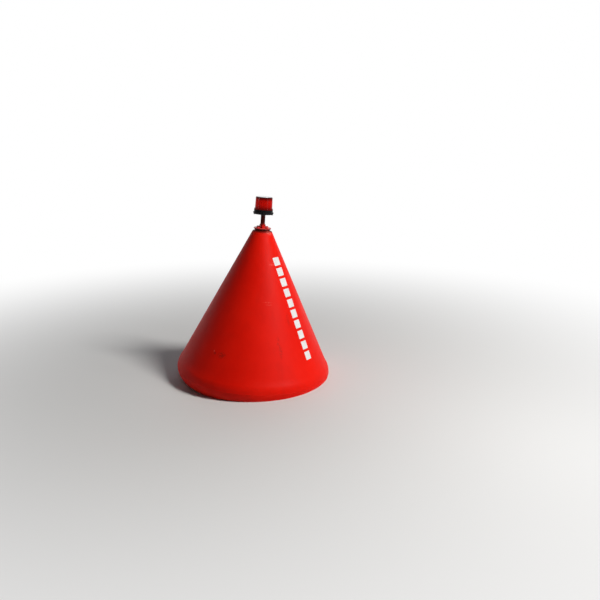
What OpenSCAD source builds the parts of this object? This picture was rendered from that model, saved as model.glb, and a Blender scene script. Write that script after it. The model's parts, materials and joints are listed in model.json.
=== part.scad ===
// Conical navigation buoy. A foam-filled float sits on a steel tube, which carries a lantern on a
// short mast at its top, and ballast discs, a padeye, a bow shackle and a swivel at its tail.
// Millimetres, +Z up. The origin is on the buoy's axis at the waterline.

/* [Float] */
// Diameter at the rim, the widest level
float_d = 1200; // [1100:10:1400]
// Radius of the rounded rim
rim_r = 115; // [95:1:125]
// Height of the widest level above the waterline
rim_z = 60; // [40:5:80]
// How far the rim stands proud of the cone's face
rim_proud = 4; // [2:0.5:8]
// Radius of the wide hollow that leads from the cone's face over to the rim
blend_r = 350; // [200:10:500]
// Diameter of the cone's top edge, before it is rounded
cone_top_d = 144; // [140:2:200]
// Height of the cone's top above the waterline
cone_top_z = 1150; // [950:10:1300]
// Rounding of the cone's top edge
cone_edge_r = 12; // [6:1:14]
// Diameter of the flat base
base_d = 540; // [500:10:620]
// Depth of the flat base below the waterline
draught = 230; // [190:5:280]
// Rounding round the flat base
base_edge_r = 25; // [15:1:40]
// Width of the bead on the mould's parting line
parting_w = 6; // [4:1:10]
// How far the parting bead stands out
parting_proud = 1.5; // [1:0.5:3]
// Diameter of the neck that carries the top plate
neck_d = 116; // [114:1:120]
// Height of the neck above the cone's top
neck_h = 6; // [4:1:12]

/* [Foam filling plugs] */
// Diameter of a plug's head
plug_d = 50; // [40:1:56]
// Thickness of the head, which lies flush in the base
plug_t = 8; // [5:1:12]
// Diameter of the stem
plug_stem_d = 36; // [28:1:38]
// Length of the stem
plug_stem_l = 20; // [14:1:30]
// Side of the square key hole in the head
plug_key_w = 14; // [10:1:18]
// Depth of the key hole
plug_key_depth = 5; // [3:0.5:5]
// Diameter of the circle on which the plugs lie
plug_circle_d = 400; // [380:5:430]

/* [Central tube] */
// Outer diameter of the tube
tube_d = 60.3; // [57:0.1:64]
// Wall of the tube
tube_wall = 4; // [2.5:0.5:6]
// Length of tube below the float's base
tail_l = 410; // [390:5:560]

/* [Top plate] */
// Thickness of the rubber gasket under the plate
top_gasket_t = 7; // [4:1:10]
// Outer diameter of the gasket
top_gasket_d = 112; // [108:1:114]
// Diameter of the plate
top_plate_d = 131; // [124:1:140]
// Thickness of the plate
top_plate_t = 8; // [6:1:12]
// Diameter of the bolt circle
top_bolt_circle_d = 97; // [94:1:99]
// Diameter of the bolts
top_bolt_d = 10; // [8:1:10]
// Depth of the bolt holes in the float's neck
top_bolt_depth = 40; // [30:5:60]

/* [Mast] */
// Outer diameter of the pipe
mast_d = 34; // [28:1:38]
// Wall of the pipe
mast_wall = 2.6; // [2:0.1:4]
// Height of the pipe between the two plates
mast_h = 104; // [80:1:200]
// How far a foot gusset reaches out from the pipe
mast_gusset_w = 12; // [8:1:16]
// Height of a foot gusset
mast_gusset_h = 30; // [20:1:50]
// Thickness of a foot gusset
mast_gusset_t = 6; // [4:1:8]
// Clipped inner corner of a foot gusset, over the weld round the pipe's foot
mast_gusset_clip = 3; // [2:0.5:4]
// Diameter of the plate under the lantern
lamp_plate_d = 146; // [144:1:160]
// Thickness of the plate under the lantern
lamp_plate_t = 4; // [3:1:10]

/* [Lantern] */
// Diameter of the housing at its foot
housing_d = 144; // [140:1:148]
// Height of the housing
housing_h = 28; // [26:1:50]
// How far the housing's side leans in over its height
housing_draft = 1; // [0.5:0.5:3]
// Depth of the finger groove round the housing
housing_groove = 2.5; // [1:0.5:3]
// Height of the groove above the housing's foot
housing_groove_z = 18; // [16:1:20]
// Width of the groove
housing_groove_w = 5; // [3:1:6]
// Diameter of the circle on which the fixing lugs lie
lug_circle_d = 134; // [132:1:136]
// Diameter of a lug
lug_d = 18; // [14:1:20]
// Height of a lug
lug_h = 12; // [8:1:16]
// Diameter of the fixing bolts
lug_bolt_d = 6; // [5:1:6]
// Wall over the blind bolt hole in a lug
lug_hole_top = 2; // [1:0.5:3]
// Thickness of the lens seal
seal_t = 2; // [1.5:0.5:4]
// Diameter of the lens at its foot
lens_foot_d = 131; // [128:1:134]
// Diameter of the lens at its top
lens_top_d = 126; // [120:1:128]
// Height of the lens
lens_h = 84; // [60:1:110]
// Diameter of the flange at the foot of the lens
lens_flange_d = 141; // [136:1:142]
// Thickness of the flange at the foot of the lens
lens_flange_t = 8; // [4:1:9]
// Wall of the lens
lens_wall = 3.5; // [2.5:0.5:5]
// Number of prism rings inside the lens
prism_count = 9; // [5:1:12]
// Depth of a prism ring
prism_depth = 2.5; // [1:0.5:4]
// Diameter of the lamp column
column_d = 44; // [30:1:60]
// Clear height above the lamp column
column_gap = 8; // [4:1:15]
// Height of the bezel over the lens
bezel_h = 8; // [6:1:12]
// Depth of the bezel's spigot inside the lens
spigot_h = 3; // [2:1:6]
// Diameter of the solar panel in the bezel
panel_d = 100; // [90:1:102]
// Thickness of the solar panel
panel_t = 3; // [2:0.5:4]
// Diameter of the cover over the panel
cover_d = 111; // [106:1:114]
// Thickness of the cover
cover_t = 3; // [2:0.5:5]

/* [Base flange] */
// Thickness of the gasket between float and flange
base_gasket_t = 4; // [3:0.5:8]
// Diameter of the flange
flange_d = 300; // [280:5:320]
// Thickness of the flange
flange_t = 12; // [8:1:16]
// Diameter of the flange's bolt circle
flange_bolt_circle_d = 250; // [240:5:256]
// Number of flange bolts
flange_bolts = 6; // [4:1:8]
// Diameter of the flange bolts
flange_bolt_d = 12; // [10:1:14]
// Depth of the flange bolt holes in the float
flange_bolt_depth = 50; // [30:5:70]
// How far a gusset reaches out from the tube
tail_gusset_w = 70; // [50:5:75]
// Height of a gusset
tail_gusset_h = 105; // [80:5:115]
// Thickness of a gusset
tail_gusset_t = 8; // [6:1:12]
// Length of a gusset's blunt outer ends
tail_gusset_end = 14; // [8:1:20]
// Clipped corner of a gusset, over the weld of flange and tube
tail_gusset_clip = 10; // [6:1:14]

/* [Ballast] */
// Diameter of a ballast disc
ballast_d = 220; // [180:5:260]
// Thickness of a ballast disc
ballast_t = 45; // [35:1:50]
// Chamfer of a ballast disc
ballast_chamfer = 6; // [3:1:10]
// Diameter of the collars above and below the discs
collar_d = 100; // [90:1:120]
// Thickness of a collar
collar_t = 16; // [12:1:20]
// Length of tube below the lower collar
tube_end_l = 24; // [15:1:40]

/* [Padeye] */
// Diameter of the cap that closes the tube
end_cap_d = 90; // [84:1:96]
// Thickness of that cap
end_cap_t = 12; // [8:1:16]
// Thickness of the eye plate
eye_plate_t = 24; // [20:1:26]
// Outer radius round the eye
eye_plate_r = 36; // [32:1:38]
// Diameter of the eye
eye_hole_d = 32; // [28:1:34]
// Distance from the cap to the centre of the eye
eye_drop = 50; // [46:1:65]

/* [Shackle] */
// Diameter of the pin
pin_d = 22; // [18:1:24]
// Diameter of the bow's bar
bow_bar_d = 20; // [16:1:20]
// Clear width between the ears
jaw_w = 34; // [32:1:38]
// Thickness of an ear
ear_t = 20; // [18:1:24]
// Outer diameter of an ear
ear_d = 46; // [42:1:52]
// Clear width of the bow
bow_w = 56; // [50:1:64]
// Distance from the pin to the centre of the bow
bow_drop = 44; // [42:1:60]
// How much thinner a leg is at the bow than at its ear
leg_taper = 0.6; // [0.4:0.1:2]
// Width of the pin's head and of the nut across their flats
hex_w = 34; // [30:1:38]
// Thickness of the pin's head
head_t = 13; // [10:1:16]
// Thickness of the nut
nut_t = 18; // [14:1:22]
// Length of pin beyond the nut
pin_tip_l = 10; // [6:1:16]
// Chamfer at the pin's tip
pin_chamfer = 2; // [1:0.5:3]

/* [Swivel] */
// Diameter of the loop's bar
loop_bar_d = 18; // [14:1:20]
// Clear width of the loop
loop_w = 40; // [38:1:46]
// Clear length of the loop
loop_l = 75; // [70:1:90]
// Diameter of the barrel under the loop
barrel_d = 40; // [36:1:44]
// Length of the barrel
barrel_l = 34; // [30:1:44]
// How far the barrel rises into the loop
barrel_rise = 8; // [7:0.5:10]
// Chamfer round the barrel's lower end
barrel_chamfer = 2.5; // [1:0.5:3]
// Diameter of the swivel's shank
shank_d = 22; // [18:1:24]
// Diameter of the shank's head
shank_head_d = 30; // [28:1:32]
// Thickness of the shank's head
shank_head_t = 11; // [8:1:13]
// Thickness of the lower eye
low_eye_t = 24; // [20:1:30]
// Outer radius of the lower eye
low_eye_r = 32; // [30:1:36]
// Chamfer round the lower eye's rim
low_eye_chamfer = 4; // [2:0.5:5]
// Diameter of the lower eye's bore, which takes the mooring
low_eye_hole_d = 30; // [24:1:32]
// Diameter of the shoulder between shank and lower eye
shoulder_d = 32; // [28:1:36]
// Height of the shoulder above the lower eye's rim
shoulder_h = 6; // [4:1:12]

/* [Fits] */
// Clearance round the central tube of what is threaded on it
tube_fit = 0.25; // [0.1:0.05:0.5]
// Gap between a moving piece and the seat that carries it
running_gap = 0.3; // [0.2:0.05:0.5]
// Clearance between a pin or shank and the hole that it turns in
pin_fit = 0.4; // [0.3:0.05:0.8]
// Clearance round a bolt in its hole
bolt_fit = 0.5; // [0.3:0.1:1]
// Gap between a flat edge and the round pipe that it is welded to
weld_gap = 0.1; // [0.05:0.05:0.3]
// Clearance of a piece that drops into a recess
recess_fit = 0.3; // [0.2:0.1:0.6]
// End play of the swivel's shank
end_play = 2; // [1:0.5:3]

/* [Hidden] */
$fn = 96;
EPS = 0.01;
QUARTERS = [0, 90, 180, 270];

// Float profile, each point as [radius, height]
rim_centre = [float_d / 2 - rim_r, rim_z];
cone_corner = [cone_top_d / 2, cone_top_z];
base_corner = [base_d / 2, -draught];
function direction(angle) = [cos(angle), sin(angle)];
function bearing(from, to) = atan2(to.y - from.y, to.x - from.x);
// Bearing of the normal of the line from point p that touches a circle, on the side given by turn
function touch_bearing(p, centre, r, turn) = bearing(centre, p) + turn * acos(r / norm(p - centre));
// Centre of the circle that rounds the corner between two faces with these normals
function corner_centre(p, n1, n2, r) = p - r * (n1 + n2) / (1 + n1 * n2);
cone_normal = direction(touch_bearing(cone_corner, rim_centre, rim_r - rim_proud, -1));
under_normal = direction(touch_bearing(base_corner, rim_centre, rim_r, 1));
up = [0, 1];
cone_edge_centre = corner_centre(cone_corner, cone_normal, up, cone_edge_r);
rim_root_r = rim_r - rim_proud;
cone_slope = [-cone_normal.y, cone_normal.x];
blend_reach = sqrt(pow(rim_r + blend_r, 2) - pow(rim_root_r + blend_r, 2));
blend_centre = rim_centre + (rim_root_r + blend_r) * cone_normal + blend_reach * cone_slope;
base_edge_centre = corner_centre(base_corner, under_normal, -up, base_edge_r);

// Heights, from the float up to the lantern
neck_z = cone_top_z + neck_h;
top_plate_z = neck_z + top_gasket_t;
mast_z = top_plate_z + top_plate_t;
lamp_plate_z = mast_z + mast_h;
housing_z = lamp_plate_z + lamp_plate_t;
housing_top_r = housing_d / 2 - housing_draft;
seal_z = housing_z + housing_h;
lens_z = seal_z + seal_t;
bezel_z = lens_z + lens_h;
cover_z = bezel_z + bezel_h;

// Heights, from the float down to the padeye
base_z = -draught;
flange_z = base_z - base_gasket_t - flange_t;
tube_end_z = base_z - tail_l;
low_collar_z = tube_end_z + tube_end_l;
ballast_z = low_collar_z + collar_t;
BALLAST_DISCS = 4;
high_collar_z = ballast_z + BALLAST_DISCS * ballast_t;
end_cap_z = tube_end_z - end_cap_t;
eye_z = end_cap_z - eye_drop;
tube_hole_d = tube_d + 2 * tube_fit;

// The shackle hangs with its pin on the lower side of the eye
pin_z = eye_z - (eye_hole_d - pin_d) / 2 + running_gap;
bow_r = (bow_w + bow_bar_d) / 2;
bow_z = pin_z - bow_drop;
ear_x = (jaw_w + ear_t) / 2;
ear_point = [ear_x, bow_drop];
leg_bearing = touch_bearing(ear_point, [0, 0], bow_r, -1);
leg_l = sqrt(pow(norm(ear_point), 2) - pow(bow_r, 2));
leg_root_l = 2;
spot_face_d = hex_w / cos(30) + 2;
pin_seat_x = jaw_w / 2 + ear_t;
pin_l = 2 * pin_seat_x + nut_t + pin_tip_l;

// The swivel's loop rides in the bow
loop_top_z = bow_z - bow_r + (bow_bar_d + loop_bar_d) / 2 + running_gap;
loop_r = (loop_w + loop_bar_d) / 2;
loop_high_z = loop_top_z - loop_r;
loop_low_z = loop_high_z - (loop_l - loop_w);
barrel_top_z = loop_low_z - loop_w / 2 + barrel_rise;
barrel_low_z = barrel_top_z - barrel_l;
shank_top_z = barrel_top_z + running_gap;
shoulder_z = barrel_low_z - end_play + running_gap;
low_eye_z = shoulder_z - shoulder_h - low_eye_r;

RED_PE = "#E41C0F";
RED_PAINT = "#C8281C";
BLACK_PAINT = "#141414";
RUBBER = "#202020";
GALVANISED = "#9AA0A4";
CAST_IRON = "#3F4245";
HOUSING = "#181818";
LENS_RED = "#9C1410";

module at_z(z) translate([0, 0, z]) children();

module disc(d, t, hole_d) {
    difference() {
        cylinder(d = d, h = t);
        translate([0, 0, -1]) cylinder(d = hole_d, h = t + 2);
    }
}

// Holes round a circle, cut upwards from the level where the module is called
module bolt_holes(circle_d, bolt_d, count, depth, turn = 0) {
    for (i = [0:count - 1])
        rotate(turn + i * 360 / count) translate([circle_d / 2, 0, -EPS])
            cylinder(d = bolt_d + bolt_fit, h = depth + 2 * EPS);
}

// Fills the corner between the rim and the cone's face up to the arc of the hollow
module rim_blend() {
    to_blend = (blend_centre - rim_centre) / norm(blend_centre - rim_centre);
    difference() {
        polygon([rim_centre, rim_centre + rim_r * to_blend, blend_centre,
            rim_centre + rim_root_r * cone_normal + blend_reach * cone_slope]);
        translate(blend_centre) circle(blend_r + EPS);
    }
}

module float_profile() {
    polygon([
        [tube_hole_d / 2, base_z],
        base_edge_centre - base_edge_r * up,
        base_edge_centre + base_edge_r * under_normal,
        rim_centre + rim_r * under_normal,
        rim_centre,
        rim_centre + rim_root_r * cone_normal,
        cone_edge_centre + cone_edge_r * cone_normal,
        cone_edge_centre + cone_edge_r * up,
        [neck_d / 2, cone_top_z],
        [neck_d / 2, neck_z],
        [tube_hole_d / 2, neck_z]]);
    translate(rim_centre) circle(rim_r);
    rim_blend();
    translate(cone_edge_centre) circle(cone_edge_r);
    translate(base_edge_centre) circle(base_edge_r);
    translate([float_d / 2 - rim_r / 2, rim_z - parting_w / 2])
        square([rim_r / 2 + parting_proud, parting_w]);
}

module plug_shape(extra) {
    cylinder(d = plug_d + 2 * extra, h = plug_t);
    cylinder(d = plug_stem_d + 2 * extra, h = plug_t + plug_stem_l + extra);
}

module at_plug(i) {
    rotate(90 + 180 * i) translate([plug_circle_d / 2, 0, base_z]) children();
}

module float_body() {
    color(RED_PE) difference() {
        rotate_extrude() float_profile();
        for (i = [0, 1])
            at_plug(i) {
                plug_shape(recess_fit);
                at_z(-1) cylinder(d = plug_d + 2 * recess_fit, h = 2);
            }
        at_z(neck_z - top_bolt_depth)
            bolt_holes(top_bolt_circle_d, top_bolt_d, 4, top_bolt_depth, 45);
        at_z(base_z)
            bolt_holes(flange_bolt_circle_d, flange_bolt_d, flange_bolts, flange_bolt_depth);
    }
}

module fill_plug(i) {
    color(RUBBER) at_plug(i) difference() {
        plug_shape(0);
        translate([-plug_key_w / 2, -plug_key_w / 2, -1])
            cube([plug_key_w, plug_key_w, plug_key_depth + 1]);
    }
}

module central_tube() {
    color(GALVANISED) at_z(tube_end_z)
        disc(tube_d, top_plate_z - tube_end_z, tube_d - 2 * tube_wall);
}

module top_gasket() {
    color(RUBBER) at_z(neck_z) difference() {
        disc(top_gasket_d, top_gasket_t, tube_hole_d);
        bolt_holes(top_bolt_circle_d, top_bolt_d, 4, top_gasket_t, 45);
    }
}

module top_plate() {
    color(RED_PAINT) at_z(top_plate_z) difference() {
        cylinder(d = top_plate_d, h = top_plate_t);
        bolt_holes(top_bolt_circle_d, top_bolt_d, 4, top_plate_t, 45);
    }
}

module mast_pipe() {
    color(RED_PAINT) at_z(mast_z) disc(mast_d, mast_h, mast_d - 2 * mast_wall);
}

module mast_gusset(angle) {
    color(RED_PAINT) rotate(angle) translate([mast_d / 2 + weld_gap, 0, mast_z])
        rotate([90, 0, 0]) linear_extrude(mast_gusset_t, center = true)
            polygon([[mast_gusset_clip, 0], [mast_gusset_w, 0], [mast_gusset_w, mast_gusset_w / 4],
                [mast_gusset_w / 6, mast_gusset_h], [0, mast_gusset_h], [0, mast_gusset_clip]]);
}

module lamp_plate() {
    color(BLACK_PAINT) at_z(lamp_plate_z) difference() {
        cylinder(d = lamp_plate_d, h = lamp_plate_t);
        bolt_holes(lug_circle_d, lug_bolt_d, 4, lamp_plate_t);
    }
}

module lantern_housing() {
    r = housing_d / 2;
    groove_low = housing_groove_z - housing_groove_w / 2;
    groove_high = housing_groove_z + housing_groove_w / 2;
    function side_r(z) = r - housing_draft * z / housing_h;
    color(HOUSING) at_z(housing_z) difference() {
        union() {
            rotate_extrude() polygon([[0, 0], [r, 0],
                [side_r(groove_low), groove_low],
                [side_r(housing_groove_z) - housing_groove, groove_low + 1],
                [side_r(housing_groove_z) - housing_groove, groove_high - 1],
                [side_r(groove_high), groove_high],
                [housing_top_r, housing_h], [0, housing_h]]);
            for (angle = QUARTERS)
                rotate(angle) {
                    translate([lug_circle_d / 2, 0, 0]) cylinder(d = lug_d, h = lug_h);
                    translate([0, -lug_d / 2, 0]) cube([lug_circle_d / 2, lug_d, lug_h]);
                }
        }
        bolt_holes(lug_circle_d, lug_bolt_d, 4, lug_h - lug_hole_top);
    }
}

module lens_seal() {
    color(RUBBER) at_z(seal_z) disc(lens_foot_d, seal_t, lens_foot_d - 4 * lens_wall);
}

module lantern_lens() {
    function side_r(z) = (lens_foot_d + (lens_top_d - lens_foot_d) * z / lens_h) / 2;
    plain = lens_h / 6;
    pitch = (lens_h - 2 * plain) / prism_count;
    prisms = [for (i = [prism_count - 1:-1:0], part = [1, 0])
        let (z = plain + (i + part) * pitch)
        part == 1 ? [side_r(z) - lens_wall, z] : [side_r(z) - lens_wall - prism_depth, z]];
    color(LENS_RED) at_z(lens_z) rotate_extrude() polygon(concat(
        [[side_r(0) - lens_wall, 0], [lens_flange_d / 2, 0],
            [lens_flange_d / 2, lens_flange_t - 1], [lens_flange_d / 2 - 1, lens_flange_t],
            [side_r(lens_flange_t), lens_flange_t], [side_r(lens_h), lens_h],
            [side_r(lens_h) - lens_wall, lens_h]],
        prisms,
        [[side_r(plain) - lens_wall, plain - EPS]]));
}

module lamp_column() {
    h = seal_t + lens_h - column_gap;
    rim_t = h / 8;
    color("#D8D8D0") at_z(seal_z) {
        cylinder(d = column_d, h = rim_t);
        cylinder(d = column_d * 0.75, h = h, $fn = 6);
        at_z(h - rim_t) cylinder(d = column_d, h = rim_t);
    }
}

module lens_bezel() {
    spigot_r = lens_top_d / 2 - lens_wall - recess_fit;
    color(LENS_RED) at_z(bezel_z) difference() {
        rotate_extrude() polygon([[0, -spigot_h], [spigot_r, -spigot_h], [spigot_r, 0],
            [lens_top_d / 2, 0], [lens_top_d / 2, bezel_h - 1], [lens_top_d / 2 - 1, bezel_h],
            [0, bezel_h]]);
        at_z(bezel_h - panel_t) cylinder(d = panel_d + 2 * recess_fit, h = panel_t + 1);
    }
}

module solar_panel() {
    color("#1B2A4A") at_z(cover_z - panel_t) cylinder(d = panel_d, h = panel_t);
}

module panel_cover() {
    color("#232E48") at_z(cover_z) rotate_extrude() polygon([[0, 0], [cover_d / 2, 0],
        [cover_d / 2, cover_t / 2], [cover_d / 2 - cover_t / 2, cover_t], [0, cover_t]]);
}

module base_gasket() {
    color(RUBBER) at_z(base_z - base_gasket_t) difference() {
        disc(flange_d, base_gasket_t, tube_hole_d);
        bolt_holes(flange_bolt_circle_d, flange_bolt_d, flange_bolts, base_gasket_t);
    }
}

module base_flange() {
    color(GALVANISED) at_z(flange_z) difference() {
        disc(flange_d, flange_t, tube_hole_d);
        bolt_holes(flange_bolt_circle_d, flange_bolt_d, flange_bolts, flange_t);
    }
}

module tail_gusset(angle) {
    color(GALVANISED) rotate(angle) translate([tube_d / 2 + weld_gap, 0, flange_z])
        rotate([90, 0, 0]) linear_extrude(tail_gusset_t, center = true)
            polygon([[tail_gusset_clip, 0], [tail_gusset_w, 0],
                [tail_gusset_w, -tail_gusset_end], [tail_gusset_end, -tail_gusset_h],
                [0, -tail_gusset_h], [0, -tail_gusset_clip]]);
}

module collar(z) {
    color(GALVANISED) at_z(z) disc(collar_d, collar_t, tube_hole_d);
}

// Disc 1 is the lowest
module ballast_disc(i) {
    r = ballast_d / 2;
    c = ballast_chamfer;
    color(CAST_IRON) at_z(ballast_z + (i - 1) * ballast_t) rotate_extrude()
        polygon([[tube_hole_d / 2, 0], [r - c, 0], [r, c], [r, ballast_t - c],
            [r - c, ballast_t], [tube_hole_d / 2, ballast_t]]);
}

module end_cap() {
    color(GALVANISED) at_z(end_cap_z) cylinder(d = end_cap_d, h = end_cap_t);
}

module eye_plate() {
    color(GALVANISED) at_z(eye_z) rotate([90, 0, 0])
        linear_extrude(eye_plate_t, center = true) difference() {
            union() {
                circle(eye_plate_r);
                translate([-eye_plate_r, 0]) square([2 * eye_plate_r, eye_drop]);
            }
            circle(d = eye_hole_d);
        }
}

// Places a shackle piece: its own X is the pin's axis, its own Y is up
module in_shackle(z) at_z(z) rotate([90, 0, 90]) children();

// Places a piece with its axis along the pin, starting at x
module along_pin(x) {
    in_shackle(pin_z) translate([x, 0, 0]) rotate([0, 90, 0]) children();
}

// A leg starts a little inside the bow's arc and thickens towards its ear
module bow_side() {
    in_shackle(bow_z) rotate(leg_bearing) translate([bow_r, -leg_root_l, 0]) rotate([-90, 0, 0])
        cylinder(d1 = bow_bar_d - leg_taper, d2 = bow_bar_d, h = leg_root_l + leg_l);
    along_pin(jaw_w / 2) cylinder(d = ear_d, h = ear_t);
}

// Spot faces outside the ears seat the pin's head and the nut
module shackle_bow() {
    color(GALVANISED) difference() {
        union() {
            in_shackle(bow_z) rotate(180 - leg_bearing)
                rotate_extrude(angle = 180 + 2 * leg_bearing)
                    translate([bow_r, 0]) circle(d = bow_bar_d);
            bow_side();
            mirror([0, 1, 0]) bow_side();
        }
        along_pin(-pin_seat_x - 1)
            cylinder(d = pin_d + 2 * pin_fit, h = 2 * pin_seat_x + 2);
        for (x = [pin_seat_x, -pin_seat_x - ear_t])
            along_pin(x) cylinder(d = spot_face_d, h = ear_t);
    }
}

module hexagon_bar(across_flats, h) {
    cylinder(d = across_flats / cos(30), h = h, $fn = 6);
}

module shackle_pin() {
    color(GALVANISED) {
        along_pin(-pin_seat_x) rotate_extrude() polygon([[0, 0], [pin_d / 2, 0],
            [pin_d / 2, pin_l - pin_chamfer], [pin_d / 2 - pin_chamfer, pin_l], [0, pin_l]]);
        along_pin(-pin_seat_x - head_t) hexagon_bar(hex_w, head_t);
    }
}

module shackle_nut() {
    color(GALVANISED) along_pin(pin_seat_x) difference() {
        hexagon_bar(hex_w, nut_t);
        at_z(-1) cylinder(d = pin_d + 2 * tube_fit, h = nut_t + 2);
    }
}

// Half of the loop's round end, drawn in the plane of X and Z
module loop_end(z, turn) {
    at_z(z) rotate([90, 0, 0]) rotate(turn) rotate_extrude(angle = 180)
        translate([loop_r, 0]) circle(d = loop_bar_d);
}

module swivel_loop() {
    color(GALVANISED) difference() {
        union() {
            loop_end(loop_high_z, 0);
            loop_end(loop_low_z, 180);
            for (x = [-loop_r, loop_r])
                translate([x, 0, loop_low_z])
                    cylinder(d = loop_bar_d, h = loop_high_z - loop_low_z);
            at_z(barrel_low_z) rotate_extrude() polygon([[0, 0],
                [barrel_d / 2 - barrel_chamfer, 0], [barrel_d / 2, barrel_chamfer],
                [barrel_d / 2, barrel_l], [0, barrel_l]]);
        }
        at_z(barrel_low_z - 1) cylinder(d = shank_d + 2 * pin_fit, h = barrel_l + 2);
    }
}

// The neck between shoulder and eye widens upwards from inside the eye's rim
module swivel_eye() {
    head_low = shank_head_t / 2;
    neck_root_z = low_eye_z + (low_eye_hole_d / 2 + low_eye_r) / 2;
    half_t = low_eye_t / 2;
    flat_r = low_eye_r - low_eye_chamfer;
    color(GALVANISED) difference() {
        union() {
            at_z(shank_top_z) cylinder(d = shank_head_d, h = head_low);
            at_z(shank_top_z + head_low)
                cylinder(d1 = shank_head_d, d2 = shank_d, h = shank_head_t - head_low);
            at_z(shoulder_z) cylinder(d = shank_d, h = shank_top_z - shoulder_z);
            at_z(neck_root_z)
                cylinder(d1 = low_eye_t - 1, d2 = shoulder_d, h = shoulder_z - neck_root_z);
            at_z(low_eye_z) rotate([90, 0, 0]) rotate_extrude() polygon([[0, -half_t],
                [flat_r, -half_t], [low_eye_r, low_eye_chamfer - half_t],
                [low_eye_r, half_t - low_eye_chamfer], [flat_r, half_t], [0, half_t]]);
        }
        at_z(low_eye_z) rotate([90, 0, 0])
            cylinder(d = low_eye_hole_d, h = low_eye_t + 2, center = true);
    }
}

float_body();
fill_plug(0);  // fill_plug_1
fill_plug(1);  // fill_plug_2
central_tube();
top_gasket();
top_plate();
mast_pipe();
mast_gusset(0);  // mast_gusset_1
mast_gusset(90);  // mast_gusset_2
mast_gusset(180);  // mast_gusset_3
mast_gusset(270);  // mast_gusset_4
lamp_plate();
lantern_housing();
lens_seal();
lantern_lens();
lamp_column();
lens_bezel();
solar_panel();
panel_cover();
base_gasket();
base_flange();
tail_gusset(30);  // tail_gusset_1
tail_gusset(120);  // tail_gusset_2
tail_gusset(210);  // tail_gusset_3
tail_gusset(300);  // tail_gusset_4
collar(high_collar_z);  // high_collar
ballast_disc(1);  // ballast_disc_1
ballast_disc(2);  // ballast_disc_2
ballast_disc(3);  // ballast_disc_3
ballast_disc(4);  // ballast_disc_4
collar(low_collar_z);  // low_collar
end_cap();
eye_plate();
shackle_bow();
shackle_pin();
shackle_nut();
swivel_loop();
swivel_eye();
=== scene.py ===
# Looks of the conical navigation buoy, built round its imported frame. Metres, +Z up.
import json
import math
import random

import bmesh
import bpy
from mathutils import Matrix, Vector, noise


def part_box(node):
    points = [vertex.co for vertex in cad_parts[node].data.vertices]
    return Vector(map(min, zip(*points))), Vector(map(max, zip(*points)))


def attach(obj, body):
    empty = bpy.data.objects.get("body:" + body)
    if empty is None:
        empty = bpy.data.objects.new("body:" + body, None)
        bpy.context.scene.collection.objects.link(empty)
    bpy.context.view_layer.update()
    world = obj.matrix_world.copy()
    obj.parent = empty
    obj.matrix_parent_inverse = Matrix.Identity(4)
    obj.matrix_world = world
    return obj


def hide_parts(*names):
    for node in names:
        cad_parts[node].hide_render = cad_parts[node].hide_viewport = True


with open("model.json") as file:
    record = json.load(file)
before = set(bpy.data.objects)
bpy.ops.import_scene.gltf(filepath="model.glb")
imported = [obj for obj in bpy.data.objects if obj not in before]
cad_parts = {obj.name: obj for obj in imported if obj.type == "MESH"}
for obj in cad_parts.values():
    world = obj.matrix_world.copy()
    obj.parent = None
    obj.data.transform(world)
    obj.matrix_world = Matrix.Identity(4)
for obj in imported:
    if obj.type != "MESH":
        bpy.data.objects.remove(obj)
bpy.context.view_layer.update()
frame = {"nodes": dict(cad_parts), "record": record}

SLOTS = {part["node"]: part["material_slot"] for part in frame["record"]["subparts"]}
MM = 0.001
# ON_EDGE stands a shape up that is drawn in X and Y
ON_EDGE = Matrix.Rotation(math.pi / 2, 4, "X")
UPSIDE_DOWN = Matrix.Rotation(math.pi, 4, "X")

# Float, the same dimensions as the solid's
FLOAT_R = 600 * MM
RIM_R = 115 * MM
RIM_Z = 60 * MM
RIM_PROUD = 4 * MM
RIM_BLEND_R = 350 * MM
CONE_TOP_R = 72 * MM
CONE_TOP_Z = 1150 * MM
CONE_EDGE_R = 12 * MM
BASE_R = 270 * MM
BASE_EDGE_R = 25 * MM
PARTING_W = 6 * MM
PARTING_PROUD = 1.5 * MM
NECK_R = 58 * MM
TUBE_HOLE_R = 30.4 * MM
TUBE_R = 30.15 * MM
PLUG_R = 25.3 * MM
PLUG_AT = 200 * MM

# The photograph's view: the buoy leans to the right, and the floor lies level under the camera
HEEL = math.radians(4.5)
CAMERA_BACK = 4.7551
CAMERA_UP = 1.8524
CAMERA_PITCH = 14.45
CAMERA_YAW = 3.945
CAMERA_ROLL = 4.532
CAMERA_LENS = 37.74

LIGHT_ABOVE = 0.025
LIGHT_BELOW = 0.60
LIGHT_BEHIND = 1.3

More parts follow.
